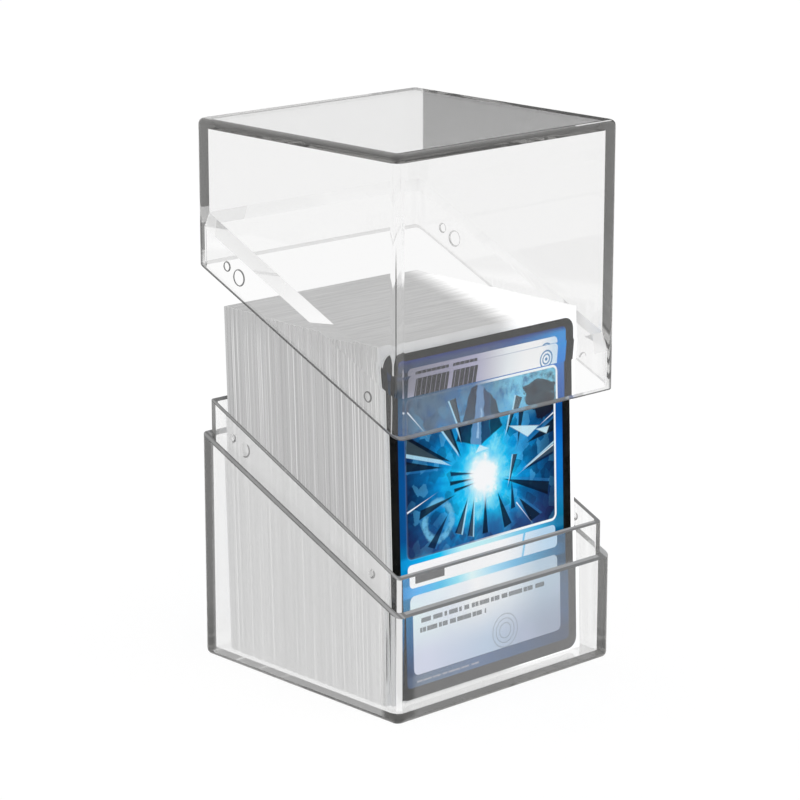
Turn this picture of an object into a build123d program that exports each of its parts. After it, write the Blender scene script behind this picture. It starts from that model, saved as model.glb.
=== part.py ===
from build123d import *
import math
import os

# Card deck box: a clear two-piece case (base and lift-off lid) that holds a
# deck of double-sleeved cards standing on their short edges.
# Units are millimetres. +Z is up, -Y is the low front of the base, the origin
# is the centre of the underside. The lid is drawn raised above its closed place.

# ---- driving dimensions -------------------------------------------------
W = 76.0                 # outside width, X
D = 74.6                 # outside depth, Y
CORNER_R = 2.4           # outside vertical corner radius
EDGE_R = 1.6             # outside radius along the underside and the lid's top
WALL = 3.15              # full wall thickness
FLOOR = 2.2              # base floor thickness
CEILING = 2.7            # lid top thickness
INNER_R = 0.7            # radius of the inner vertical corners

SHOULDER_FRONT = 27.45   # height of the parting line at the front face
SHOULDER_BACK = 59.95    # height of the parting line at the back face
LIP_INSET = 1.88         # step from the outside face in to the lip
LIP_FRONT = 8.3          # lip height above the parting line at the front
LIP_BACK = 9.7           # lip height above the parting line at the back
LIP_R = 1.2              # lip's outside corner radius
RIM_T = 1.70             # wall thickness of the lid's recessed rim
RIM_FRONT = 9.3          # recess depth from the rim at the front, clears the lip when closed
RIM_BACK = 10.1          # recess depth from the rim at the back
TAPER_H = 4.35           # height over which the recess tapers back to the full wall
RIM_R = 1.35             # recess corner radius
CLOSED_H = 96.9          # whole box height, closed
LID_RAISE = 44.9         # how far above closed the lid is drawn

BUMP_H = 0.14            # snap bumps stand this far out of the lip
DIMPLE_D = 0.42          # depth of the lid's matching dimples
# (y, height above the closed parting line's frame, diameter) of each bump pair
BUMPS = [(26.3, 60.3, 2.3), (21.7, 58.1, 4.0), (-26.0, 36.4, 2.4)]

CARD_W, CARD_H, CARD_T, CARD_R = 63.0, 88.0, 0.30, 3.0
INNER_W, INNER_H, INNER_WALL, INNER_SEAM = 64.0, 89.0, 0.05, 0.35
OUTER_W, OUTER_H, OUTER_WALL, OUTER_SEAM = 66.0, 91.0, 0.07, 0.55
FILM_GAP = 0.01          # clearance between a sleeve's film and what it holds
PITCH = 0.603            # one double-sleeved card to the next
COUNT = 100              # cards in the deck
LEAN = 1.9               # the deck leans back by this many degrees
DECK_FRONT = -29.90      # front face of the deck where it meets the floor
FLOOR_GAP = 0.03         # under the deck

SLOPE = (SHOULDER_BACK - SHOULDER_FRONT) / D
BIG = 400.0


def shoulder_z(y):
    """Height of the parting line at depth y, box closed."""
    return SHOULDER_FRONT + SLOPE * (y + D / 2)


def parting_plane(front=0.0, back=None):
    """The diagonal parting plane, raised by front at the front face and back at the back."""
    back = front if back is None else back
    tilt = (back - front) / D
    return Plane(
        origin=(0, 0, shoulder_z(0) + (front + back) / 2),
        x_dir=(1, 0, 0),
        z_dir=(0, -(SLOPE + tilt), 1),
    )


def below(solid, front, back=None):
    return split(solid, bisect_by=parting_plane(front, back), keep=Keep.BOTTOM)


def above(solid, front, back=None):
    return split(solid, bisect_by=parting_plane(front, back), keep=Keep.TOP)


def column(width, depth, radius, z0, z1):
    """Upright block with rounded vertical corners."""
    sk = Plane.XY.offset(z0) * RectangleRounded(width, depth, radius)
    return extrude(sk, amount=z1 - z0)


def cap_at(side, y, z, diameter, height, face_x):
    """Spherical cap standing out of the side face at |x| = face_x."""
    a = diameter / 2
    r = (a * a + height * height) / (2 * height)
    ball = Pos(-(face_x + height - r), y, z) * Sphere(r)
    # keep the part of the ball outside the face, with a little root inside it
    box = Pos(-(face_x + 1.0 - 0.2), y, z) * Box(2.0, diameter + 2, diameter + 2)
    cap = ball & box
    return cap if side < 0 else mirror(cap, about=Plane.YZ)


def hollow_at(side, y, z, diameter, depth, face_x):
    """Shallow dished pocket: a ball that cuts depth into an inner side face."""
    a = diameter / 2
    r = (a * a + depth * depth) / (2 * depth)
    ball = Pos(-(face_x - (r - depth)), y, z) * Sphere(r)
    return ball if side < 0 else mirror(ball, about=Plane.YZ)


# ---- base ---------------------------------------------------------------
half_w, half_d = W / 2, D / 2
cav_w, cav_d = W - 2 * WALL, D - 2 * WALL

body = column(W, D, CORNER_R, 0, 90)
body = fillet(body.faces().sort_by(Axis.Z)[0].edges(), EDGE_R)
body = below(body, 0)
lip = below(column(W - 2 * LIP_INSET, D - 2 * LIP_INSET, LIP_R, 5, 95), LIP_FRONT, LIP_BACK)
cavity = column(cav_w, cav_d, INNER_R, FLOOR, 120)
base = body + lip - cavity
for y, z, dia in BUMPS:
    for side in (-1, 1):
        base = base + cap_at(side, y, z, dia, BUMP_H, half_w - LIP_INSET)
        # the bump is backed by a dished pocket on the well side of the lip
        base = base - hollow_at(side, y, z, dia * 0.92, 0.42, half_w - WALL)

# ---- lid (closed place first, then raised) --------------------------------
lid = column(W, D, CORNER_R, 20, CLOSED_H)
lid = fillet(lid.faces().sort_by(Axis.Z)[-1].edges(), EDGE_R)
lid = above(lid, 0)
rim_w, rim_d = W - 2 * RIM_T, D - 2 * RIM_T
recess_col = column(rim_w, rim_d, RIM_R, 0, 140)
cavity_col = column(cav_w, cav_d, INNER_R, 0, CLOSED_H - CEILING)
recess = below(recess_col, RIM_FRONT, RIM_BACK)
f_low = section(recess_col, section_by=parting_plane(RIM_FRONT, RIM_BACK))
f_high = section(
    column(cav_w, cav_d, INNER_R, 0, 140),
    section_by=parting_plane(RIM_FRONT + TAPER_H, RIM_BACK + TAPER_H),
)
taper = loft([f_low.face(), f_high.face()], ruled=True)
lid = lid - recess - taper - cavity_col
for y, z, dia in BUMPS:
    for side in (-1, 1):
        pit = Pos(side * (half_w - RIM_T), y, z) * Rotation(0, 90, 0) * Cylinder(
            (dia + 0.1) / 2, 2 * DIMPLE_D
        )
        lid = lid - pit
lid = Pos(0, 0, LID_RAISE) * lid


# ---- cards and sleeves ----------------------------------------------------
def jitter(i, salt):
    """Small fixed unevenness of a hand-squared deck, -1 to 1."""
    v = math.sin(i * 12.9898 + salt * 78.233) * 43758.5453
    return 2 * (v - math.floor(v)) - 1


def block(width, height, thick, x=0.0, z=0.0):
    """Upright sheet, centred on y = 0, standing on z."""
    return Pos(x, 0, z + height / 2) * Box(width, thick, height)


inner_t = CARD_T + 2 * FILM_GAP + 2 * INNER_WALL
outer_t = inner_t + 2 * FILM_GAP + 2 * OUTER_WALL

card_z = OUTER_SEAM + 0.05
inner_z = OUTER_SEAM + 0.02

card_shape = Pos(0, CARD_T / 2, card_z + CARD_H / 2) * (
    extrude(Plane.XZ * RectangleRounded(CARD_W, CARD_H, CARD_R), amount=CARD_T)
)
inner_shape = block(INNER_W, INNER_H, inner_t, z=inner_z) - block(
    INNER_W - 2 * INNER_SEAM, INNER_H, inner_t - 2 * INNER_WALL, z=inner_z - INNER_SEAM
)
outer_shape = block(OUTER_W, OUTER_H, outer_t) - block(
    OUTER_W - 2 * OUTER_SEAM, OUTER_H, outer_t - 2 * OUTER_WALL, z=OUTER_SEAM
)


def placed(shape, i):
    """Stand a piece of card i in its leaning place in the deck."""
    edge = i in (0, COUNT - 1)
    dx = 0.0 if edge else 0.34 * jitter(i, 1)
    dz = 0.0 if edge else 0.13 * (jitter(i, 2) - 0.4)
    y = DECK_FRONT + outer_t / 2 + i * PITCH
    up = max(0.0, dz)
    return Pos(dx, y, FLOOR + FLOOR_GAP + up) * Rotation(-LEAN, 0, 0) * shape


parts = {"base_shell": base, "lid_shell": lid}
for label, index in (("front", 0), ("back", COUNT - 1)):
    parts[f"{label}_card"] = placed(card_shape, index)
    parts[f"{label}_inner_sleeve"] = placed(inner_shape, index)
    parts[f"{label}_outer_sleeve"] = placed(outer_shape, index)

blocks = [range(1, 10)] + [range(10 * k, 10 * k + 10) for k in range(1, 9)] + [range(90, 99)]
for k, rng in enumerate(blocks, start=1):
    parts[f"cards_{k:02d}"] = Compound(children=[placed(card_shape, i) for i in rng])
    parts[f"inner_sleeves_{k:02d}"] = Compound(children=[placed(inner_shape, i) for i in rng])
    parts[f"outer_sleeves_{k:02d}"] = Compound(children=[placed(outer_shape, i) for i in rng])

os.makedirs("parts", exist_ok=True)
for name, shape in parts.items():
    export_step(shape, f"parts/{name}.step")
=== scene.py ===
import bpy, bmesh, math, random
from mathutils import Vector, Matrix


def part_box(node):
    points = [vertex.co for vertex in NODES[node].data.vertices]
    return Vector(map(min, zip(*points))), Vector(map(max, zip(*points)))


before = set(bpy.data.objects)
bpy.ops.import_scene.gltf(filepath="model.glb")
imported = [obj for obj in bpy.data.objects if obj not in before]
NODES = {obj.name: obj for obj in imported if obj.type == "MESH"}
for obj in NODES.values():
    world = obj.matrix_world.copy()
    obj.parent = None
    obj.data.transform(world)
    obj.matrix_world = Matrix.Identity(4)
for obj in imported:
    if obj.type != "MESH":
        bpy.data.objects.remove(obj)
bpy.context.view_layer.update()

scene = bpy.context.scene
scene.view_settings.view_transform = "Standard"
scene.cycles.max_bounces = 40
scene.cycles.transmission_bounces = 40
scene.cycles.glossy_bounces = 24
scene.cycles.transparent_max_bounces = 40
random.seed(7)

LEAN = math.radians(1.9)
MM = 1000.0


# ------------------------------------------------------------------ node helper
class Graph:
    """Small helper that writes shader node trees as expressions."""

    def __init__(self, name, world=None):
        if world is None:
            self.mat = bpy.data.materials.new(name)
            self.mat.use_nodes = True
            self.nt = self.mat.node_tree
        else:
            self.mat = world
            self.nt = world.node_tree
        self.nt.nodes.clear()

    def node(self, kind, ins=None, **props):
        n = self.nt.nodes.new(kind)
        for k, v in props.items():
            setattr(n, k, v)
        for k, v in (ins or {}).items():
            self.put(n.inputs[k], v)
        return n

    def put(self, socket, v):
        if isinstance(v, bpy.types.NodeSocket):
            self.nt.links.new(v, socket)
        elif v is not None:
            if isinstance(v, (tuple, list)) and len(v) == 3 and socket.type == "RGBA":
                v = (*v, 1.0)
            socket.default_value = v

    def m(self, op, a, b=None, c=None, clamp=False):
        n = self.nt.nodes.new("ShaderNodeMath")
        n.operation = op
        n.use_clamp = clamp
        self.put(n.inputs[0], a)
        if b is not None:
            self.put(n.inputs[1], b)
        if c is not None:
            self.put(n.inputs[2], c)
        return n.outputs[0]

    def add(self, a, b): return self.m("ADD", a, b)
    def sub(self, a, b): return self.m("SUBTRACT", a, b)
    def mul(self, a, b): return self.m("MULTIPLY", a, b)

    def mix(self, fac, a, b, blend="MIX"):
        n = self.nt.nodes.new("ShaderNodeMix")
        n.data_type = "RGBA"
        n.blend_type = blend
        self.put(n.inputs[0], fac)
        self.put(n.inputs[6], a)
        self.put(n.inputs[7], b)
        return n.outputs[2]

    def fmix(self, fac, a, b):
        n = self.nt.nodes.new("ShaderNodeMix")
        n.data_type = "FLOAT"
        self.put(n.inputs[0], fac)
        self.put(n.inputs[2], a)
        self.put(n.inputs[3], b)
        return n.outputs[0]

    def xyz(self, vec):
        n = self.node("ShaderNodeSeparateXYZ", {0: vec})
        return n.outputs[0], n.outputs[1], n.outputs[2]

    def vec(self, x, y, z):
        return self.node("ShaderNodeCombineXYZ", {0: x, 1: y, 2: z}).outputs[0]

    def smooth(self, x, lo, hi, a=0.0, b=1.0):
        n = self.node("ShaderNodeMapRange", {0: x, 1: lo, 2: hi, 3: a, 4: b})
        n.interpolation_type = "SMOOTHSTEP"
        return n.outputs[0]

    def lin(self, x, lo, hi, a=0.0, b=1.0):
        return self.node("ShaderNodeMapRange", {0: x, 1: lo, 2: hi, 3: a, 4: b}).outputs[0]

    def ramp(self, x, stops, mode="LINEAR"):
        n = self.node("ShaderNodeValToRGB", {0: x})
        cr = n.color_ramp
        cr.interpolation = mode
        while len(cr.elements) > 1:
            cr.elements.remove(cr.elements[-1])
        cr.elements[0].position = stops[0][0]
        cr.elements[0].color = (*stops[0][1], 1)
        for p, c in stops[1:]:
            e = cr.elements.new(p)
            e.color = (*c, 1)
        return n.outputs[0]

    def noise(self, vec=None, w=None, scale=5.0, detail=2.0, rough=0.5, dims="3D"):
        n = self.node("ShaderNodeTexNoise", {"Scale": scale, "Detail": detail, "Roughness": rough}, noise_dimensions=dims)
        if vec is not None and dims != "1D":
            self.put(n.inputs["Vector"], vec)
        if w is not None:
            self.put(n.inputs["W"], w)
        return n.outputs[0]

    def white(self, w):
        n = self.node("ShaderNodeTexWhiteNoise", noise_dimensions="1D")
        self.put(n.inputs["W"], w)
        return n.outputs[0]

    def rrect(self, u, v, u0, u1, v0, v1, r, soft=0.05):
        """1 inside a rounded rectangle, 0 outside; returns (mask, signed distance)."""
        cx, cy, hx, hy = (u0 + u1) / 2, (v0 + v1) / 2, (u1 - u0) / 2, (v1 - v0) / 2
        qx = self.sub(self.m("ABSOLUTE", self.sub(u, cx)), hx - r)
        qy = self.sub(self.m("ABSOLUTE", self.sub(v, cy)), hy - r)
        ax, ay = self.m("MAXIMUM", qx, 0.0), self.m("MAXIMUM", qy, 0.0)
        out = self.m("SQRT", self.add(self.mul(ax, ax), self.mul(ay, ay)))
        ins = self.m("MINIMUM", self.m("MAXIMUM", qx, qy), 0.0)
        d = self.sub(self.add(out, ins), r)
        return self.m("MULTIPLY_ADD", d, -1.0 / soft, 0.5, clamp=True), d

    def poly(self, u, v, pts, soft=0.06):
        """Mask of a convex polygon given counter-clockwise."""
        d = None
        n = len(pts)
        for i in range(n):
            (x0, y0), (x1, y1) = pts[i], pts[(i + 1) % n]
            ex, ey = x1 - x0, y1 - y0
            ln = math.hypot(ex, ey)
            a, b = ey / ln, -ex / ln
            c = -(a * x0 + b * y0)
            e = self.m("MULTIPLY_ADD", u, a, self.m("MULTIPLY_ADD", v, b, c))
            d = e if d is None else self.m("MAXIMUM", d, e)
        return self.m("MULTIPLY_ADD", d, -1.0 / soft, 0.5, clamp=True)

    def out(self, surface=None, volume=None, world=False):
        o = self.node("ShaderNodeOutputWorld" if world else "ShaderNodeOutputMaterial")
        if surface is not None:
            self.put(o.inputs[0], surface)
        if volume is not None:
            self.put(o.inputs[1], volume)
        return self.mat


def srgb(r, g, b):
    def f(c):
        c /= 255.0
        return c / 12.92 if c <= 0.04045 else ((c + 0.055) / 1.055) ** 2.4
    return (f(r), f(g), f(b))


def dress(obj, mat):
    if obj.material_slots:
        for s in obj.material_slots:
            s.material = mat
    else:
        obj.data.materials.append(mat)


# ------------------------------------------------------------------ clear plastic
# parting line of the box, heights in mm at the front and back faces
SH_F, SH_B, HALF_D = 27.45, 59.95, 37.3
SLOPE = (SH_B - SH_F) / (2 * HALF_D)
RAISE = 44.9
RIM_F, RIM_B, TAPER = 9.3, 10.1, 4.35
BUMPS = [(26.3, 60.3, 2.3), (21.7, 58.1, 4.0), (-26.0, 36.4, 2.4)]


def clear_plastic(name, density, lid, ior=1.5):
    """Clear moulded plastic: glass with a faint grey absorption; the cut edges, corners and dimple rims get painted
    grey shade and pale painted highlights.
    """
    g = Graph(name)
    co = g.node("ShaderNodeTexCoord").outputs["Object"]
    x, y, z = g.xyz(co)
    x, y, z = g.mul(x, MM), g.mul(y, MM), g.mul(z, MM)
    geo = g.node("ShaderNodeNewGeometry")
    nx, ny, nz = g.xyz(geo.outputs["True Normal"])
    inside = geo.outputs["Backfacing"]
    outside = g.sub(1.0, inside)
    lp = g.node("ShaderNodeLightPath")
    ax = g.m("ABSOLUTE", x)
    # height over the parting line
    s = g.sub(z, g.m("MULTIPLY_ADD", y, SLOPE, SH_F + SLOPE * HALF_D + (RAISE if lid else 0.0)))
    # faces that lie along the parting line
    k = 1.0 / math.hypot(1.0, SLOPE + 0.01)
    along = g.m("ABSOLUTE", g.sub(g.mul(nz, k), g.mul(ny, (SLOPE + 0.01) * k)))
    cut = g.smooth(along, 0.985, 0.993)
    glass = g.node("ShaderNodeBsdfGlass", {"Color": (1, 1, 1), "Roughness": 0.0, "IOR": ior}).outputs[0]
    clear = g.node("ShaderNodeBsdfTransparent", {"Color": (1.0, 1.0, 1.0)}).outputs[0]
    soft = g.m("MAXIMUM", lp.outputs["Is Shadow Ray"], lp.outputs["Is Diffuse Ray"])
    ix, iy, iz = g.xyz(geo.outputs["Incoming"])
    # how far an outer corner turns away from the viewer
    turned = g.node("ShaderNodeLayerWeight", {"Blend": 0.5}).outputs["Facing"]
    ay = g.m("ABSOLUTE", y)
    if lid:
        # painted shade: the rim's edge is painted as a thin dark grey line at the left and front, and the painted grey
        # fades elsewhere
        left = g.mul(g.m("LESS_THAN", x, -36.75), g.m("LESS_THAN", y, 37.0))
        front = g.m("LESS_THAN", y, -36.75)
        near = g.m("MAXIMUM", g.m("LESS_THAN", x, -35.0), g.m("LESS_THAN", y, -34.5))
        tone = g.fmix(left, g.fmix(front, g.fmix(near, 0.86, g.fmix(g.m("GREATER_THAN", x, 23.0), 0.32, 0.95)), 0.14), 0.10)
        drawn = g.m("MAXIMUM", left, front)
        blank = g.mul(g.m("LESS_THAN", y, -34.5), g.mul(g.m("GREATER_THAN", x, -35.0), g.m("LESS_THAN", x, 23.0)))
        amount = g.mul(cut, g.fmix(drawn, g.fmix(blank, g.fmix(near, 0.80, 0.75), 0.62), 0.95))
        through = g.mul(cut, inside)
        # recess taper: a painted light grey band (painted reflection) along the left wall, plus painted grey patches at
        # the back-left and front-right ends seen from the left; clear elsewhere
        t0 = g.m("MULTIPLY_ADD", y, (RIM_B - RIM_F) / (2 * HALF_D), (RIM_B + RIM_F) / 2)
        st = g.sub(s, t0)
        anz = g.m("ABSOLUTE", nz)
        band = g.mul(g.mul(g.m("GREATER_THAN", st, -0.3), g.m("LESS_THAN", st, TAPER + 0.3)), g.m("LESS_THAN", ax, 37.2))
        band = g.mul(band, g.mul(g.smooth(anz, 0.10, 0.16), g.smooth(anz, 0.70, 0.60)))
        painted_taper_sheen = g.mul(g.mul(band, g.m("LESS_THAN", x, -30.0)), g.smooth(y, -12.0, 14.0))
        ends = g.m("MAXIMUM", g.mul(g.mul(g.m("GREATER_THAN", x, 31.0), g.m("LESS_THAN", y, -20.0)), g.m("LESS_THAN", ix, 0.0)), g.mul(g.mul(g.m("GREATER_THAN", y, 31.0), g.m("LESS_THAN", x, -22.0)), g.m("LESS_THAN", ix, -0.3)))
        painted_taper_sheen = g.m("MAXIMUM", g.mul(painted_taper_sheen, 0.40), g.mul(g.mul(band, ends), g.fmix(g.m("GREATER_THAN", y, 31.0), 0.80, 0.55)))
        tone = g.fmix(g.m("GREATER_THAN", painted_taper_sheen, 0.001), tone, g.fmix(ends, 0.82, g.fmix(g.m("GREATER_THAN", y, 31.0), 0.94, 1.0)))
        amount = g.m("MAXIMUM", amount, painted_taper_sheen)
        # the near upright corner gets a painted thin dark shade line with a painted pale highlight strip beside it
        t = g.sub(g.add(x, 38.0), g.add(y, 37.3))
        corner = g.m("LESS_THAN", g.add(g.add(x, 38.0), g.add(y, 37.3)), 3.0)
        fade = g.mul(g.smooth(z, 121.0, 112.0), g.smooth(z, 82.5, 85.0))
        dark = g.mul(g.mul(g.smooth(g.m("ABSOLUTE", g.add(t, 0.45)), 0.26, 0.14), fade), corner)
        pale = g.mul(g.mul(g.mul(g.smooth(t, -0.3, -0.1), g.smooth(t, 2.3, 1.8)), corner), g.mul(g.mul(g.smooth(z, 132.0, 122.0), g.smooth(z, 84.0, 86.0)), g.fmix(g.smooth(z, 109.5, 111.5), 0.08, 0.55)))
        tone = g.fmix(g.m("GREATER_THAN", pale, 0.01), tone, 0.92)
        amount = g.m("MAXIMUM", amount, pale)
        tone = g.fmix(g.m("GREATER_THAN", dark, 0.01), tone, 0.12)
        amount = g.m("MAXIMUM", amount, g.mul(dark, 0.85))
        # painted shade: outer corners are painted dark down to the rim where they turn away from view
        c2 = g.mul(g.m("GREATER_THAN", ax, 35.6), g.m("GREATER_THAN", ay, 34.9))
        c2 = g.mul(g.mul(c2, outside), g.mul(g.smooth(s, 14.0, 10.5), g.sub(1.0, cut)))
        c2 = g.mul(c2, g.smooth(turned, 0.30, 0.55))
        tone = g.fmix(g.m("GREATER_THAN", c2, 0.01), tone, 0.17)
        amount = g.m("MAXIMUM", amount, g.mul(c2, 0.80))
        # the painted dark rim line also shows on the right and back when seen from those sides
        far = g.m("MAXIMUM", g.mul(g.m("GREATER_THAN", x, 36.75), g.m("GREATER_THAN", ix, 0.05)), g.mul(g.m("GREATER_THAN", y, 36.1), g.m("GREATER_THAN", iy, 0.05)))
        far = g.mul(far, cut)
        tone = g.fmix(g.m("GREATER_THAN", far, 0.01), tone, 0.12)
        amount = g.m("MAXIMUM", amount, g.mul(far, 0.90))
        # snap dimples: a painted dark thin outline of shade, darker on the left wall
        for by, bz, dia in BUMPS:
            a, b = g.sub(y, by), g.sub(z, bz + RAISE)
            d = g.m("SQRT", g.add(g.mul(a, a), g.mul(b, b)))
            ring = g.smooth(g.m("ABSOLUTE", g.sub(d, (dia + 0.1) / 2)), 0.22, 0.12)
            ring = g.mul(ring, g.mul(g.m("LESS_THAN", ax, 37.0), g.m("GREATER_THAN", ax, 35.0)))
            # painted shade is darker on the side towards the front
            side = g.fmix(g.smooth(a, 1.0, -1.0), 0.70, 0.95)
            amount = g.m("MAXIMUM", amount, g.mul(ring, side))
            tone = g.fmix(g.m("GREATER_THAN", ring, 0.01), tone, g.fmix(g.smooth(x, -1.0, 1.0), 0.14, 0.62))
    else:
        # painted grey shade on the cut ledges along the parting line
        tone = 0.235
        # along the front only the outer part of each ledge catches the painted grey
        slim = g.m("MAXIMUM", g.mul(g.m("GREATER_THAN", y, -36.35), g.m("LESS_THAN", y, -35.45)), g.m("GREATER_THAN", y, -34.72))
        slim = g.mul(slim, g.m("LESS_THAN", y, -33.0))
        slim = g.mul(slim, g.mul(g.m("GREATER_THAN", x, -34.2), g.m("LESS_THAN", x, 34.2)))
        amount = g.mul(g.mul(cut, outside), g.fmix(slim, 0.93, 0.86))
        through = g.mul(cut, inside)
        tone = g.fmix(slim, tone, 0.46)
        # the right ledge near the front gets a lighter painted grey
        tone = g.fmix(g.mul(g.m("GREATER_THAN", x, 36.1), g.m("LESS_THAN", y, -30.0)), tone, 0.46)
        # along the left each ledge is painted lighter down its middle, a painted highlight
        mid = g.m("MAXIMUM", g.smooth(g.m("ABSOLUTE", g.add(x, 37.1)), 0.62, 0.36), g.smooth(g.m("ABSOLUTE", g.add(x, 35.5)), 0.42, 0.22))
        tone = g.fmix(g.mul(mid, g.m("LESS_THAN", ny, 0.0)), tone, 0.40)
        # from behind, the ledges show through the wall as a painted soft grey shade
        back = g.mul(g.mul(cut, inside), g.m("LESS_THAN", lp.outputs["Ray Depth"], 1.5))
        amount = g.m("MAXIMUM", amount, g.mul(back, 0.60))
        # snap bumps: a painted dark crescent of shade on one side of each rim
        for by, bz, dia in BUMPS:
            a, b = g.sub(y, by), g.sub(z, bz)
            d = g.m("SQRT", g.add(g.mul(a, a), g.mul(b, b)))
            ring = g.smooth(g.m("ABSOLUTE", g.sub(d, dia / 2 - 0.15)), 0.30, 0.16)
            ring = g.mul(ring, g.m("GREATER_THAN", ax, 35.6))
            side = g.smooth(g.add(a, g.mul(b, 0.5)), 0.2, -0.9)
            amount = g.m("MAXIMUM", amount, g.mul(g.mul(ring, side), 0.85))
        # painted shade: the lip's outer corners are painted darker where they turn away from view
        c3 = g.mul(g.m("GREATER_THAN", ax, 34.9), g.m("GREATER_THAN", ay, 34.2))
        c3 = g.mul(g.mul(c3, outside), g.mul(g.smooth(s, 0.1, 0.6), g.sub(1.0, cut)))
        c3 = g.mul(c3, g.smooth(turned, 0.30, 0.60))
        tone = g.fmix(g.m("GREATER_THAN", c3, 0.01), tone, 0.20)
        amount = g.m("MAXIMUM", amount, g.mul(c3, 0.50))
        # the walls get a faint, uneven painted pale sheen (painted reflection), stronger on the left wall, and on the
        # front wall below the parting line
        wall = g.mul(g.m("GREATER_THAN", ax, 35.9), g.smooth(g.m("ABSOLUTE", nx), 0.97, 0.99))
        wall = g.mul(wall, g.mul(g.smooth(y, 33.6, 31.0), g.smooth(y, -33.6, -31.0)))
        painted_wall_sheen = g.mul(wall, g.fmix(g.m("LESS_THAN", x, 0.0), 0.06, 0.31))
        wall = g.mul(g.m("LESS_THAN", y, -35.2), g.smooth(g.m("ABSOLUTE", ny), 0.97, 0.99))
        wall = g.mul(g.mul(wall, g.smooth(ax, 33.6, 31.0)), outside)
        painted_wall_sheen = g.m("MAXIMUM", painted_wall_sheen, g.mul(wall, g.fmix(g.smooth(s, 0.0, 1.0), 0.115, 0.03)))
        painted_wall_sheen = g.mul(painted_wall_sheen, g.smooth(g.noise(co, scale=14.0, detail=1.0), 0.2, 0.8, 0.93, 1.07))
        # painted pale highlight strips down the near upright corners of the wall and the lip
        t = g.sub(g.add(x, 38.0), g.add(y, 37.3))
        c1 = g.mul(g.m("LESS_THAN", g.add(g.add(x, 38.0), g.add(y, 37.3)), 3.0), g.mul(g.smooth(t, -0.6, -0.3), g.smooth(t, 1.9, 1.5)))
        t2 = g.sub(g.add(x, 36.12), g.add(y, 35.42))
        c2 = g.mul(g.m("LESS_THAN", g.add(g.add(x, 36.12), g.add(y, 35.42)), 1.9), g.mul(g.smooth(t2, -0.5, -0.2), g.smooth(t2, 1.6, 1.2)))
        c2 = g.mul(c2, g.m("GREATER_THAN", g.add(g.add(x, 36.12), g.add(y, 35.42)), -0.2))
        plain = g.mul(g.sub(1.0, cut), g.mul(outside, g.smooth(z, 2.6, 4.2)))
        strip = g.mul(g.m("MAXIMUM", g.mul(c1, g.smooth(s, 0.05, -0.1)), g.mul(c2, g.m("GREATER_THAN", s, 0.05))), g.mul(plain, 0.80))
        painted_wall_sheen = g.m("MAXIMUM", painted_wall_sheen, strip)
        tone = g.fmix(g.m("GREATER_THAN", g.sub(painted_wall_sheen, amount), 0.0), tone, 0.95)
        amount = g.m("MAXIMUM", amount, painted_wall_sheen)
        # a painted dark shade streak down the near left wall
        streak = g.mul(g.smooth(g.m("ABSOLUTE", g.add(t, 3.75)), 0.30, 0.12), g.mul(g.smooth(z, 9.0, 13.0), g.smooth(z, 26.0, 20.0)))
        streak = g.mul(g.mul(streak, g.m("LESS_THAN", x, -37.9)), 0.75)
        tone = g.fmix(g.m("GREATER_THAN", streak, 0.02), tone, 0.10)
        amount = g.m("MAXIMUM", amount, streak)
    grey = g.node("ShaderNodeBsdfDiffuse", {"Color": g.vec(tone, tone, tone)}).outputs[0]
    surf = g.node("ShaderNodeMixShader", {0: through, 1: glass, 2: clear}).outputs[0]
    surf = g.node("ShaderNodeMixShader", {0: amount, 1: surf, 2: grey}).outputs[0]
    surf = g.node("ShaderNodeMixShader", {0: soft, 1: surf, 2: clear}).outputs[0]
    # light that has bounced about inside the wall comes out an even grey
    glow = 0.44 if lid else 0.37
    deep = g.node("ShaderNodeEmission", {"Color": (glow, glow, glow), "Strength": 1.0}).outputs[0]
    surf = g.node("ShaderNodeMixShader", {0: g.m("GREATER_THAN", lp.outputs["Ray Depth"], 8.5), 1: surf, 2: deep}).outputs[0]
    vol = g.node("ShaderNodeVolumeAbsorption", {"Color": (0.03, 0.02, 0.0), "Density": density}).outputs[0]
    return g.out(surf, vol)


dress(NODES["base_shell"], clear_plastic("clear_base", 19.0, False))
dress(NODES["lid_shell"], clear_plastic("clear_lid", 19.0, True))


# ------------------------------------------------------------------ sleeves and cards
def film(name, gloss=0.02):
    g = Graph(name)
    co = g.node("ShaderNodeTexCoord").outputs["Object"]
    sm = g.noise(co, scale=60.0, detail=2.0)
    tint = g.mix(sm, (0.985, 0.987, 0.99), (0.995, 0.996, 0.997))
    tr = g.node("ShaderNodeBsdfTransparent", {"Color": tint}).outputs[0]
    gl = g.node("ShaderNodeBsdfGlossy", {"Color": (1, 1, 1), "Roughness": 0.12}).outputs[0]
    fr = g.node("ShaderNodeLayerWeight", {"Blend": 0.3}).outputs["Fresnel"]
    k = g.mul(g.mul(g.m("POWER", fr, 2.0), gloss), g.sub(1.0, g.node("ShaderNodeNewGeometry").outputs["Backfacing"]))
    return g.out(g.node("ShaderNodeMixShader", {0: k, 1: tr, 2: gl}).outputs[0])


film_mat = film("clear_film", 0.02)

PITCH = 0.603
DECK0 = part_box("front_outer_sleeve")
y_front = DECK0[0].y * MM
z_floor = DECK0[0].z * MM


def deck_coord(g):
    """(x, distance back through the deck, height) in mm, unleaned."""
    co = g.node("ShaderNodeTexCoord").outputs["Object"]
    x, y, z = g.xyz(co)
    x, y, z = g.mul(x, MM), g.mul(y, MM), g.mul(z, MM)
    back = g.sub(g.sub(g.mul(y, math.cos(LEAN)), g.mul(z, math.sin(LEAN))),
                 y_front * math.cos(LEAN) - z_floor * math.sin(LEAN))
    return co, x, back, z


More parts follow.
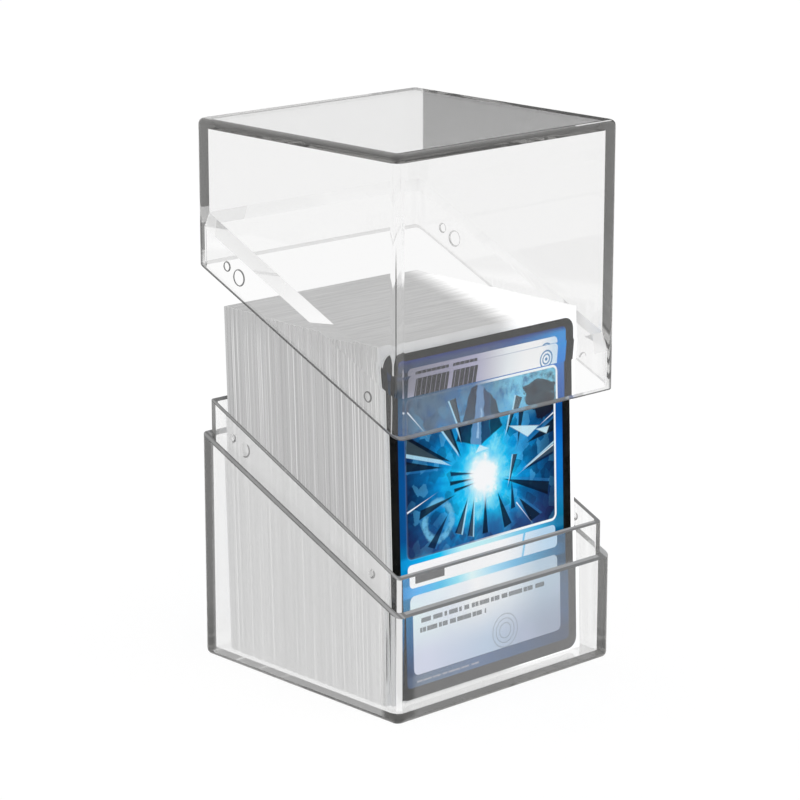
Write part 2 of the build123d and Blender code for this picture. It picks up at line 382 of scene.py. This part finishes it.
def sleeve_edge():
    """Milky look of many stacked film edges: fine uneven light and grey lines, with a painted glow and a painted glare
    on the top ends.
    """
    g = Graph("sleeve_edges")
    co, x, b, z = deck_coord(g)
    card = g.m("FLOOR", g.m("DIVIDE", b, PITCH))
    one = g.white(card)
    three = g.noise(w=g.mul(card, 0.37), dims="1D", scale=1.0, detail=1.0)
    fine = g.noise(w=g.mul(b, 2.3), dims="1D", scale=1.0, detail=2.0)
    broad = g.noise(w=g.mul(b, 0.16), dims="1D", scale=1.0, detail=1.0)
    # about every second or third card shows a thin light line that wanders and fades
    wob = g.noise(g.vec(g.mul(z, 0.05), g.mul(x, 0.05), 3.0), scale=1.0, detail=1.0)
    pos = g.m("FRACT", g.m("DIVIDE", g.add(b, g.mul(g.sub(wob, 0.5), 0.5)), PITCH))
    thin = g.mul(g.smooth(pos, 0.10, 0.32), g.smooth(pos, 0.85, 0.60))
    drift = g.noise(g.vec(g.mul(x, 0.02), g.mul(b, 1.5), g.mul(z, 0.025)), scale=1.0, detail=2.0)
    line = g.mul(g.mul(g.smooth(one, 0.50, 0.78), thin), g.smooth(drift, 0.36, 0.58, 0.25, 1.0))
    val = g.add(g.mul(line, 0.58), g.mul(three, 0.16))
    val = g.add(val, g.mul(fine, 0.24))
    val = g.add(val, g.mul(g.sub(broad, 0.5), 0.20))
    val = g.add(val, g.mul(g.sub(drift, 0.5), 0.25))
    # the contrast dies away towards the top ends of the sleeves
    nrm = g.xyz(g.node("ShaderNodeNewGeometry").outputs["Normal"])
    side = g.m("ABSOLUTE", nrm[0])
    top = g.smooth(side, 0.6, 0.4)
    calm = g.fmix(g.smooth(z, 84.0, 93.5), 1.0, 0.2)
    calm = g.mul(g.mul(calm, g.fmix(top, 1.0, 1.6)), g.fmix(g.m("GREATER_THAN", nrm[0], 0.5), 1.0, 0.6))
    val = g.add(g.mul(g.sub(val, 0.20), calm), 0.24)
    col = g.ramp(g.m("MINIMUM", g.m("MAXIMUM", val, 0.0), 1.0),
                 [(0.0, srgb(182, 182, 182)), (0.24, srgb(199, 199, 199)), (0.6, srgb(228, 228, 228)), (1.0, srgb(240, 240, 239))])
    # fine streaks across the top ends
    comb = g.noise(g.vec(g.mul(x, 0.035), g.mul(b, 2.9), 4.0), scale=1.0, detail=3.0, rough=0.7)
    col = g.mix(top, col, g.mix(g.smooth(comb, 0.34, 0.66), srgb(224, 224, 224), srgb(244, 244, 244)))
    # painted glow: the films emit part of their colour, so the gaps between them are not shaded and stay pale
    own = g.mix(1.0, col, (0.57, 0.57, 0.57), "MULTIPLY")
    bs = g.node("ShaderNodeBsdfPrincipled", {"Base Color": own, "Roughness": 0.5, "IOR": 1.2}).outputs[0]
    # the top ends glare white towards the right
    glare = g.mul(top, g.smooth(g.add(g.sub(x, g.mul(b, 0.40)), g.mul(g.sub(drift, 0.5), 1.6)), 2.5, 15.5))
    lit = g.fmix(top, 0.31, g.add(0.225, g.mul(glare, 0.70)))
    em = g.node("ShaderNodeEmission", {"Color": col, "Strength": lit}).outputs[0]
    return g.out(g.node("ShaderNodeAddShader", {0: bs, 1: em}).outputs[0])


edge_mat = sleeve_edge()


def stock():
    g = Graph("card_stock")
    co = g.node("ShaderNodeTexCoord").outputs["Object"]
    fib = g.noise(co, scale=1800.0, detail=3.0)
    col = g.mix(fib, srgb(222, 221, 218), srgb(240, 240, 238))
    return g.out(g.node("ShaderNodeBsdfPrincipled", {"Base Color": col, "Roughness": 0.6}).outputs[0])


stock_mat = stock()
for k in range(1, 11):
    dress(NODES[f"cards_{k:02d}"], stock_mat)
    dress(NODES[f"inner_sleeves_{k:02d}"], edge_mat)
    dress(NODES[f"outer_sleeves_{k:02d}"], edge_mat)
for n in ("front", "back"):
    dress(NODES[f"{n}_inner_sleeve"], film_mat)
    dress(NODES[f"{n}_outer_sleeve"], film_mat)

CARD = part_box("front_card")
card_u0 = CARD[0].x * MM
card_v0 = CARD[0].z * MM


def front_print():
    g = Graph("printed_card")
    co = g.node("ShaderNodeTexCoord").outputs["Object"]
    x, y, z = g.xyz(co)
    u = g.sub(g.mul(x, MM), card_u0)
    v = g.m("DIVIDE", g.sub(g.mul(z, MM), card_v0), math.cos(LEAN))
    grain = g.noise(co, scale=2500.0, detail=2.0)

    black = srgb(20, 20, 19)
    # blue frame: deep blue on the left, brighter on the right, paler beside the text
    vv = g.m("DIVIDE", v, 88.0)
    blue_l = g.ramp(vv, [(0.0, srgb(14, 46, 90)), (0.06, srgb(10, 52, 99)), (0.12, srgb(0, 75, 126)), (0.19, srgb(0, 103, 158)), (0.27, srgb(20, 122, 168)),
                         (0.31, srgb(0, 127, 184)), (0.37, srgb(0, 140, 205)), (0.42, srgb(0, 112, 170)), (0.46, srgb(0, 80, 144)), (0.62, srgb(0, 82, 150)),
                         (0.73, srgb(0, 70, 136)), (0.80, srgb(24, 80, 124)), (0.86, srgb(24, 78, 112)), (0.90, srgb(0, 50, 78)), (0.95, srgb(6, 10, 26)), (1.0, srgb(6, 10, 26))])
    blue_r = g.ramp(vv, [(0.0, srgb(0, 34, 70)), (0.06, srgb(0, 44, 84)), (0.12, srgb(0, 70, 118)), (0.24, srgb(0, 74, 116)), (0.31, srgb(0, 66, 96)), (0.37, srgb(0, 97, 144)),
                         (0.41, srgb(0, 122, 168)), (0.46, srgb(20, 132, 190)), (0.52, srgb(6, 124, 208)), (0.60, srgb(8, 122, 210)), (0.67, srgb(0, 102, 198)),
                         (0.73, srgb(4, 84, 160)), (0.80, srgb(22, 95, 179)), (0.85, srgb(40, 112, 194)), (0.89, srgb(0, 126, 219)), (0.96, srgb(0, 146, 232)), (1.0, srgb(0, 146, 232))])
    frame_col = g.mix(g.smooth(u, 10.0, 52.0), blue_l, blue_r)
    uu = g.m("DIVIDE", u, 63.0)
    top_col = g.ramp(uu, [(0.0, srgb(20, 26, 50)), (0.13, srgb(46, 68, 106)), (0.5, srgb(72, 88, 126)), (0.66, srgb(46, 90, 156)), (0.80, srgb(30, 121, 190)), (0.90, srgb(0, 146, 222)), (1.0, srgb(0, 146, 232))])
    frame_col = g.mix(g.smooth(v, 82.8, 83.4), frame_col, g.mix(g.smooth(v, 84.4, 86.2), top_col, srgb(16, 40, 120)))
    bot_col = g.ramp(uu, [(0.0, srgb(10, 52, 99)), (0.14, srgb(84, 110, 140)), (0.42, srgb(64, 100, 146)), (0.66, srgb(20, 74, 122)), (1.0, srgb(8, 44, 84))])
    frame_col = g.mix(g.smooth(v, 6.4, 5.4), frame_col, bot_col)
    # bright strips across the frame, above and below the type bar
    s1 = g.ramp(uu, [(0.0, srgb(0, 130, 200)), (0.12, srgb(10, 168, 234)), (0.26, srgb(20, 200, 250)), (0.38, srgb(200, 248, 252)), (0.56, srgb(196, 242, 248)), (0.68, srgb(140, 214, 242)),
                     (0.80, srgb(80, 188, 232)), (0.92, srgb(30, 124, 170)), (1.0, srgb(30, 124, 170))])
    frame_col = g.mix(g.mul(g.smooth(v, 32.5, 33.5), g.smooth(v, 36.4, 35.2)), frame_col, s1)
    s2 = g.ramp(uu, [(0.0, srgb(0, 120, 190)), (0.12, srgb(60, 180, 250)), (0.25, srgb(40, 196, 242)), (0.34, srgb(140, 232, 252)), (0.42, srgb(232, 255, 255)), (0.54, srgb(164, 226, 252)), (0.67, srgb(100, 186, 230)),
                     (0.80, srgb(60, 146, 190)), (0.92, srgb(20, 100, 146)), (1.0, srgb(0, 66, 96))])
    frame_col = g.mix(g.mul(g.smooth(v, 25.4, 26.2), g.smooth(v, 29.4, 28.4)), frame_col, s2)

    fr_mask, _ = g.rrect(u, v, 2.75, 60.25, 2.9, 86.0, 1.2)
    col = g.mix(fr_mask, black, frame_col)

    # title bar: grey-lilac to white, left to right
    t_mask, _ = g.rrect(u, v, 5.2, 57.2, 76.8, 83.9, 1.3)
    streak = g.noise(g.vec(g.mul(u, 0.10), g.mul(v, 0.9), 7.0), scale=1.0, detail=3.0)
    title = g.ramp(uu, [(0.0, srgb(112, 110, 118)), (0.10, srgb(138, 138, 152)), (0.30, srgb(158, 156, 178)), (0.45, srgb(176, 174, 200)), (0.53, srgb(206, 206, 218)), (0.63, srgb(240, 245, 248)), (0.72, srgb(255, 255, 255)), (1.0, srgb(255, 255, 255))])
    title = g.mix(g.mul(g.smooth(v, 81.0, 77.0), g.smooth(u, 34.0, 20.0)), title, srgb(172, 172, 196))
    title = g.mix(g.mul(g.mul(g.smooth(streak, 0.5, 0.8), 0.35), g.smooth(u, 40.0, 26.0)), title, srgb(96, 98, 120))
    title = g.mix(g.mul(g.smooth(u, 51.0, 57.0), 0.45), title, srgb(150, 212, 250))
    col = g.mix(t_mask, col, title)

    # picture window with a white line round it: a burst of light among glass shards
    a_mask, a_d = g.rrect(u, v, 5.1, 57.5, 35.3, 76.1, 1.6)
    cx, cy = 31.5, 51.8
    du, dv = g.sub(u, cx), g.mul(g.sub(v, cy), 0.86)
    rad = g.m("SQRT", g.add(g.mul(du, du), g.mul(dv, dv)))
    ca, sa = g.m("DIVIDE", du, g.add(rad, 0.001)), g.m("DIVIDE", dv, g.add(rad, 0.001))
    cloud = g.noise(g.vec(g.mul(u, 0.10), g.mul(v, 0.10), 1.3), scale=1.0, detail=5.0, rough=0.62)
    wisp = g.noise(g.vec(g.mul(u, 0.30), g.mul(v, 0.30), 6.1), scale=1.0, detail=5.0, rough=0.66)
    ray = g.noise(g.vec(ca, sa, 3.7), scale=4.4, detail=3.0, rough=0.6)
    r2 = g.m("DIVIDE", rad, g.add(0.62, g.mul(ray, 0.80)))
    r2 = g.add(r2, g.mul(g.sub(cloud, 0.5), 14.0))
    r2 = g.add(r2, g.mul(g.sub(wisp, 0.5), 9.0))
    art = g.ramp(g.m("DIVIDE", r2, 36.0),
                 [(0.0, srgb(255, 255, 255)), (0.09, srgb(244, 255, 255)), (0.14, srgb(140, 232, 252)), (0.24, srgb(24, 196, 248)), (0.38, srgb(4, 146, 214)),
                  (0.52, srgb(4, 100, 160)), (0.68, srgb(4, 66, 116)), (0.85, srgb(6, 38, 82)), (1.0, srgb(8, 24, 58))])
    # fine cracked texture, like broken glass
    crack = g.node("ShaderNodeTexVoronoi", {"Vector": g.vec(g.add(u, g.mul(wisp, 3.0)), g.mul(v, 0.8), 0.0), "Scale": 0.42, "Randomness": 1.0}, voronoi_dimensions="2D", feature="F1")
    facet = g.xyz(crack.outputs["Color"])[0]
    away = g.smooth(rad, 7.0, 14.0)
    art = g.mix(g.mul(g.mul(g.smooth(facet, 0.60, 0.90), away), 0.42), art, srgb(2, 14, 38))
    art = g.mix(g.mul(g.mul(g.smooth(facet, 0.34, 0.10), away), 0.30), art, srgb(96, 190, 236))
    # pale smoke in the upper corners, violet dusk below
    up = g.smooth(v, 63.0, 71.0)
    art = g.mix(g.mul(g.mul(up, g.smooth(wisp, 0.30, 0.60)), g.fmix(g.smooth(u, 30.0, 42.0), 0.62, 0.80)), art, g.mix(g.smooth(u, 28.0, 44.0), srgb(84, 124, 150), srgb(132, 222, 250)))
    dusk = g.mul(g.smooth(v, 46.0, 38.0), g.smooth(cloud, 0.35, 0.62))
    art = g.mix(g.mul(dusk, 0.55), art, srgb(52, 50, 104))
    side_dark = g.m("MAXIMUM", g.smooth(u, 9.0, 4.5), g.m("MAXIMUM", g.smooth(g.add(u, g.mul(v, 0.35)), 25.0, 16.0), g.mul(g.smooth(u, 50.0, 57.0), g.smooth(v, 68.0, 58.0))))
    art = g.mix(g.mul(side_dark, 0.55), art, srgb(4, 26, 70))
    # a pale curl of light at the lower left
    eu, ev = g.sub(u, 15.8), g.mul(g.sub(v, 43.4), 1.0)
    er = g.m("SQRT", g.add(g.mul(eu, eu), g.mul(ev, ev)))
    curl = g.mul(g.smooth(g.m("ABSOLUTE", g.sub(er, g.add(4.6, g.mul(g.sub(wisp, 0.5), 2.4)))), 1.3, 0.4), g.smooth(wisp, 0.30, 0.55))
    art = g.mix(g.mul(curl, 0.75), art, srgb(120, 200, 236))
    art = g.mix(g.mul(g.smooth(er, 3.4, 1.0), 0.45), art, srgb(6, 60, 120))

    # a dark spire of rock above the burst and a jagged dark mass at the upper right
    def jag(amp, n, w):
        return g.mul(g.sub(g.noise(g.vec(g.mul(u, n), g.mul(v, n), w), scale=1.0, detail=3.0), 0.5), amp)
    ju = g.add(u, jag(1.6, 0.40, 11.0))
    for pts, tint in (([(22.4, 62.5), (27.4, 60.8), (29.4, 76.0), (27.0, 75.2)], srgb(14, 20, 42)), ([(27.4, 60.8), (31.0, 60.0), (31.6, 74.8), (29.4, 76.0)], srgb(104, 142, 186)),
                      ([(31.0, 60.0), (34.4, 61.6), (33.4, 73.0), (31.6, 74.8)], srgb(34, 48, 84)), ([(34.4, 61.6), (38.6, 63.6), (35.4, 71.0), (33.4, 73.0)], srgb(10, 14, 32)),
                      ([(29.6, 62.0), (30.2, 61.8), (30.7, 69.4), (30.4, 69.6)], srgb(168, 204, 232))):
        art = g.mix(g.mul(g.poly(ju, v, pts, 0.35), 0.88), art, tint)
    mass = g.poly(g.add(u, jag(5.5, 0.45, 2.0)), v, [(46.0, 69.0), (52.5, 62.5), (56.5, 64.0), (56.0, 71.8), (51.0, 73.8), (45.0, 72.4)], 0.4)
    art = g.mix(g.mul(mass, 0.92), art, srgb(20, 18, 34))

    # shards: thin triangles that point at the burst, dark with a light edge
    rnd = random.Random(23)
    tris = [
        ((20.5, 57.6), (5.8, 66.8), (5.4, 62.4), 1), ((17.6, 56.6), (5.4, 60.4), (5.2, 57.8), 0), ((24.0, 58.4), (17.6, 66.4), (20.6, 66.6), 1),
        ((29.0, 53.0), (20.2, 55.0), (20.4, 53.9), 0), ((29.0, 51.7), (20.0, 52.6), (20.1, 51.5), 0), ((29.2, 50.6), (21.4, 50.4), (21.5, 49.5), 0),
        ((38.8, 49.6), (55.2, 45.8), (54.6, 42.4), 0), ((40.6, 47.6), (43.8, 55.2), (42.2, 55.4), 1), ((41.6, 48.6), (41.2, 41.2), (42.8, 41.4), 0),
        ((32.2, 46.6), (31.0, 36.8), (33.0, 36.8), 0), ((26.0, 47.0), (21.4, 39.0), (23.6, 38.2), 1), ((36.6, 46.6), (38.8, 36.8), (41.4, 37.6), 0),
        ((28.2, 46.4), (25.8, 37.4), (27.6, 36.8), 1), ((45.8, 50.4), (57.0, 55.6), (56.6, 52.8), 1), ((44.0, 57.6), (44.6, 66.8), (46.4, 66.4), 0),
        ((40.0, 60.6), (42.8, 70.8), (45.0, 69.8), 1), ((21.8, 48.8), (9.8, 47.2), (9.4, 44.8), 0), ((44.2, 43.6), (48.2, 36.6), (51.8, 37.8), 0),
        ((24.6, 62.0), (19.6, 73.4), (21.8, 73.8), 1), ((19.2, 44.4), (12.0, 37.4), (14.4, 36.4), 0), ((47.2, 57.4), (57.2, 62.2), (56.8, 58.8), 0),
    ]
    for p0, p1, p2, lit in tris:
        tri = [p0, p1, p2]
        if (p1[0] - p0[0]) * (p2[1] - p0[1]) - (p1[1] - p0[1]) * (p2[0] - p0[0]) < 0:
            tri = [p0, p2, p1]
        sx, sy = (tri[2][0] - tri[1][0]) * 0.22, (tri[2][1] - tri[1][1]) * 0.22
        light = g.poly(u, v, [(p + sx, q + sy) for p, q in tri], 0.16)
        art = g.mix(g.mul(light, 0.75 if lit else 0.40), art, srgb(188, 234, 252) if lit else srgb(50, 130, 196))
        art = g.mix(g.mul(g.poly(u, v, tri, 0.18), 0.90), art, srgb(4, 10, 24) if rnd.random() > 0.3 else srgb(4, 24, 56))
    # a few bright slivers and long white scratches of light
    slivers = [[(41.0, 63.0), (47.6, 59.0), (51.6, 61.2)], [(50.6, 60.4), (54.4, 58.6), (55.4, 60.4)], [(33.6, 58.6), (29.0, 58.2), (30.6, 60.0)]]
    for tri in slivers:
        (x0, y0), (x1, y1), (x2, y2) = tri
        if (x1 - x0) * (y2 - y0) - (y1 - y0) * (x2 - x0) < 0:
            tri = [tri[0], tri[2], tri[1]]
        art = g.mix(g.mul(g.poly(u, v, tri, 0.3), 0.85), art, srgb(214, 246, 255))
    for (x0, y0, x1, y1, wd) in ((5.3, 47.4, 14.2, 50.2, 0.50), (5.4, 73.0, 11.4, 66.6, 0.36), (56.9, 55.2, 45.6, 50.5, 0.34), (43.2, 42.6, 48.2, 36.8, 0.34), (57.0, 63.6, 52.0, 61.2, 0.4)):
        ln = math.hypot(x1 - x0, y1 - y0)
        ox, oy = -(y1 - y0) / ln * wd / 2, (x1 - x0) / ln * wd / 2
        sc = g.poly(u, v, [(x0 - ox, y0 - oy), (x1, y1), (x0 + ox, y0 + oy)], 0.14)
        art = g.mix(g.mul(sc, 0.9), art, srgb(236, 246, 252))
    # the burst's core washes over everything near it
    core = g.m("POWER", g.smooth(g.add(rad, g.mul(g.sub(ray, 0.5), 5.0)), 7.4, 1.6), 1.5)
    art = g.mix(core, art, srgb(255, 255, 255))
    line = g.smooth(g.m("ABSOLUTE", g.add(a_d, 0.05)), 0.40, 0.24)
    fade = g.m("MAXIMUM", g.smooth(g.add(u, g.mul(v, -0.35)), 6.0, 34.0, 0.04, 1.0), g.mul(g.smooth(v, 74.0, 76.0), g.smooth(u, 26.0, 40.0)))
    col = g.mix(a_mask, col, art)
    col = g.mix(g.mul(line, g.m("MINIMUM", fade, 1.0)), col, srgb(252, 254, 255))

    # type bar and text box
    y_mask, _ = g.rrect(u, v, 5.1, 57.2, 28.1, 33.9, 1.2)
    typ = g.mix(g.smooth(u, 36.0, 56.0), srgb(255, 255, 255), srgb(186, 218, 242))
    typ = g.mix(g.smooth(g.m("ABSOLUTE", g.sub(u, g.add(45.5, g.mul(g.sub(v, 32.0), 0.25)))), 0.6, 0.1), typ, srgb(120, 200, 240))
    col = g.mix(y_mask, col, typ)
    b_mask, _ = g.rrect(u, v, 5.1, 57.2, 5.9, 26.1, 1.6)
    neb = g.noise(g.vec(g.mul(u, 0.05), g.mul(v, 0.07), 4.0), scale=1.0, detail=3.0)
    box_hi = g.ramp(uu, [(0.0, srgb(226, 250, 252)), (0.25, srgb(240, 253, 254)), (0.45, srgb(255, 255, 255)), (0.62, srgb(236, 244, 250)), (0.80, srgb(185, 208, 225)), (1.0, srgb(176, 198, 216))])
    box_lo = g.ramp(uu, [(0.0, srgb(216, 222, 243)), (0.16, srgb(215, 221, 243)), (0.48, srgb(188, 210, 234)), (0.66, srgb(170, 186, 210)), (0.80, srgb(156, 170, 194)), (1.0, srgb(150, 164, 188))])
    box = g.mix(g.smooth(v, 22.0, 8.0), box_hi, box_lo)
    box = g.mix(g.mul(g.smooth(neb, 0.46, 0.72), 0.35), box, srgb(208, 206, 242))
    col = g.mix(b_mask, col, box)

    # wording as plain bars: three text lines, a type line and a heading
    def words(v0, pitch, rows, height, u0, u1, seed, density=0.36, scale=0.75):
        row = g.m("FLOOR", g.m("DIVIDE", g.sub(v0, v), pitch))
        in_row = g.m("MULTIPLY", g.m("GREATER_THAN", row, -0.5), g.m("LESS_THAN", row, rows - 0.5))
        t = g.sub(g.sub(v0, v), g.mul(row, pitch))
        ink = g.mul(g.smooth(t, 0.0, 0.2), g.sub(1.0, g.smooth(t, height, height + 0.2)))
        gap = g.noise(w=g.add(g.mul(u, scale), g.mul(g.add(row, seed), 13.7)), dims="1D", scale=1.0, detail=0.0)
        w = g.smooth(gap, density, density + 0.03)
        last = g.m("COMPARE", row, rows - 1.0, 0.1)
        end = g.fmix(last, u1, u0 + (u1 - u0) * (0.52 if rows > 1 else 1.0))
        span = g.mul(g.m("GREATER_THAN", u, u0), g.m("LESS_THAN", u, end))
        return g.mul(g.mul(in_row, ink), g.mul(w, span))

    text = words(22.8, 2.45, 3, 1.2, 7.4, 51.5, 3.0)
    col = g.mix(g.mul(text, 0.85), col, srgb(52, 62, 70))
    kind = words(31.2, 4.0, 1, 2.0, 7.0, 17.0, 8.0, 0.30, 0.55)
    col = g.mix(g.mul(kind, 0.9), col, srgb(24, 26, 32))
    note = words(4.5, 3.0, 1, 0.5, 6.0, 28.0, 5.0, 0.36, 0.9)
    col = g.mix(g.mul(note, 0.6), col, srgb(190, 190, 196))
    # heading: solid bars with slanted ends
    su = g.sub(u, g.mul(g.sub(v, 80.6), 0.12))
    h1, _ = g.rrect(su, v, 7.6, 18.8, 78.5, 82.9, 0.3)
    h2, _ = g.rrect(su, v, 20.2, 28.6, 78.5, 82.9, 0.3)
    # each bar is cut by slim gaps, like blocks in a row
    cuts = g.smooth(g.m("ABSOLUTE", g.sub(g.m("FRACT", g.mul(su, 0.62)), 0.5)), 0.48, 0.44)
    col = g.mix(g.mul(g.mul(g.m("MAXIMUM", h1, h2), cuts), 0.94), col, srgb(16, 16, 18))
    # a plain ring and dot in the corner of the title bar, and faint large rings in the text box
    def ring(cu, cv, r, wdt, soft=0.10):
        a, b = g.sub(u, cu), g.sub(v, cv)
        d = g.m("SQRT", g.add(g.mul(a, a), g.mul(b, b)))
        return g.smooth(g.m("ABSOLUTE", g.sub(d, r)), wdt + soft, wdt)
    mark = g.m("MAXIMUM", g.m("MAXIMUM", ring(53.2, 80.4, 2.1, 0.16), ring(53.2, 80.4, 1.2, 0.14)), ring(53.2, 80.4, 0.0, 0.40))
    col = g.mix(g.mul(mark, 0.9), col, srgb(40, 130, 186))
    big = g.m("MAXIMUM", g.m("MAXIMUM", ring(37.0, 10.4, 4.4, 0.10), ring(37.0, 10.4, 3.2, 0.10)), ring(37.0, 10.4, 2.0, 0.10))
    col = g.mix(g.mul(g.mul(big, b_mask), 0.5), col, srgb(100, 116, 134))

    # print only on the face; the cut edges stay white
    ny = g.xyz(g.node("ShaderNodeNewGeometry").outputs["Normal"])[1]
    face = g.m("LESS_THAN", ny, -0.5)
    col = g.mix(face, srgb(236, 236, 234), col)
    rough = g.lin(grain, 0.3, 0.7, 0.42, 0.50)
    bs = g.node("ShaderNodeBsdfPrincipled", {"Base Color": col, "Roughness": rough, "IOR": 1.12, "Specular IOR Level": 0.3}).outputs[0]
    return g.out(bs)


dress(NODES["front_card"], front_print())


def back_print():
    g = Graph("card_back")
    co = g.node("ShaderNodeTexCoord").outputs["Object"]
    x, y, z = g.xyz(co)
    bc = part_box("back_card")
    u = g.sub(g.mul(x, MM), bc[0].x * MM)
    v = g.m("DIVIDE", g.sub(g.mul(z, MM), bc[0].z * MM), math.cos(LEAN))
    black = srgb(24, 24, 26)
    inner, d = g.rrect(u, v, 3.0, 60.0, 3.0, 85.0, 2.0)
    a, b = g.sub(u, 31.5), g.sub(v, 44.0)
    p = g.mul(g.m("ABSOLUTE", g.sub(g.m("FRACT", g.mul(g.add(a, b), 0.18)), 0.5)), 2.0)
    q = g.mul(g.m("ABSOLUTE", g.sub(g.m("FRACT", g.mul(g.sub(a, b), 0.18)), 0.5)), 2.0)
    lat = g.m("MAXIMUM", g.smooth(p, 0.90, 0.96), g.smooth(q, 0.90, 0.96))
    rad = g.m("SQRT", g.add(g.mul(a, a), g.mul(g.mul(b, b), 0.55)))
    base = g.ramp(g.m("DIVIDE", rad, 42.0), [(0.0, srgb(60, 150, 215)), (0.45, srgb(24, 78, 150)), (1.0, srgb(10, 30, 70))])
    col = g.mix(g.mul(lat, 0.35), base, srgb(150, 200, 235))
    line = g.smooth(g.m("ABSOLUTE", g.add(d, 2.0)), 0.42, 0.26)
    col = g.mix(line, col, srgb(200, 225, 240))
    el = g.m("ABSOLUTE", g.sub(rad, 13.0))
    col = g.mix(g.smooth(el, 0.8, 0.6), col, srgb(225, 238, 246))
    col = g.mix(g.smooth(rad, 12.4, 12.1), col, srgb(18, 56, 116))
    col = g.mix(g.smooth(g.add(g.m("ABSOLUTE", a), g.m("ABSOLUTE", b)), 6.6, 6.3), col, srgb(200, 226, 242))
    col = g.mix(inner, black, col)
    ny = g.xyz(g.node("ShaderNodeNewGeometry").outputs["Normal"])[1]
    col = g.mix(g.m("GREATER_THAN", ny, 0.5), srgb(236, 236, 234), col)
    return g.out(g.node("ShaderNodeBsdfPrincipled", {"Base Color": col, "Roughness": 0.38, "IOR": 1.25}).outputs[0])


dress(NODES["back_card"], back_print())

# ------------------------------------------------------------------ stage
bm = bmesh.new()
S = 5.0
vs = [bm.verts.new(p) for p in ((-S, -S, -0.0002), (S, -S, -0.0002), (S, S, -0.0002), (-S, S, -0.0002))]
bm.faces.new(vs)
me = bpy.data.meshes.new("floor")
bm.to_mesh(me)
bm.free()
floor = bpy.data.objects.new("floor", me)
scene.collection.objects.link(floor)
g = Graph("floor_white")
em = g.node("ShaderNodeEmission", {"Color": (1, 1, 1), "Strength": 0.90}).outputs[0]
df = g.node("ShaderNodeBsdfDiffuse", {"Color": (0.12, 0.12, 0.12)}).outputs[0]
floor.data.materials.append(g.out(g.node("ShaderNodeAddShader", {0: em, 1: df}).outputs[0]))

world = bpy.data.worlds.new("studio")
world.use_nodes = True
scene.world = world
g = Graph("studio", world)
d = g.node("ShaderNodeNewGeometry").outputs["Incoming"]
dx, dy, dz = g.xyz(g.node("ShaderNodeVectorMath", {0: d, 3: -1.0}, operation="SCALE").outputs[0])
az = g.mul(g.m("ARCTAN2", dx, dy), 180 / math.pi)      # clockwise from +Y
el = g.mul(g.m("ARCSINE", dz), 180 / math.pi)
flag = g.mul(g.mul(g.smooth(az, 43.42, 43.45), g.sub(1.0, g.smooth(az, 88.0, 100.0))),
             g.mul(g.smooth(el, 3.0, 6.0), g.sub(1.0, g.smooth(el, 32.0, 48.0))))
lum = g.fmix(flag, 1.0, 0.05)
veil = g.mul(g.mul(g.smooth(az, 5.0, 15.0), g.smooth(az, 43.45, 43.42)), g.mul(g.smooth(el, 3.0, 6.0), g.sub(1.0, g.smooth(el, 40.0, 50.0))))
lum = g.mul(lum, g.fmix(veil, 1.0, 0.82))
bgd = g.node("ShaderNodeBackground", {"Color": (1, 1, 1), "Strength": lum}).outputs[0]
g.out(bgd, world=True)

# ------------------------------------------------------------------ camera
cam = bpy.data.cameras.new("camera")
cam.sensor_width = 36.0
cam.lens = 134.546
cam.clip_start, cam.clip_end = 0.01, 20.0
cam_obj = bpy.data.objects.new("camera", cam)
scene.collection.objects.link(cam_obj)
cam_obj.location = (-0.506754, -0.541120, 0.262741)
az0, el0 = math.radians(-42.9906), math.radians(14.6513)
back = Vector((math.sin(az0) * math.cos(el0), -math.cos(az0) * math.cos(el0), math.sin(el0)))
cam_obj.rotation_mode = "QUATERNION"
cam_obj.rotation_quaternion = (-back).to_track_quat("-Z", "Y")
scene.camera = cam_obj
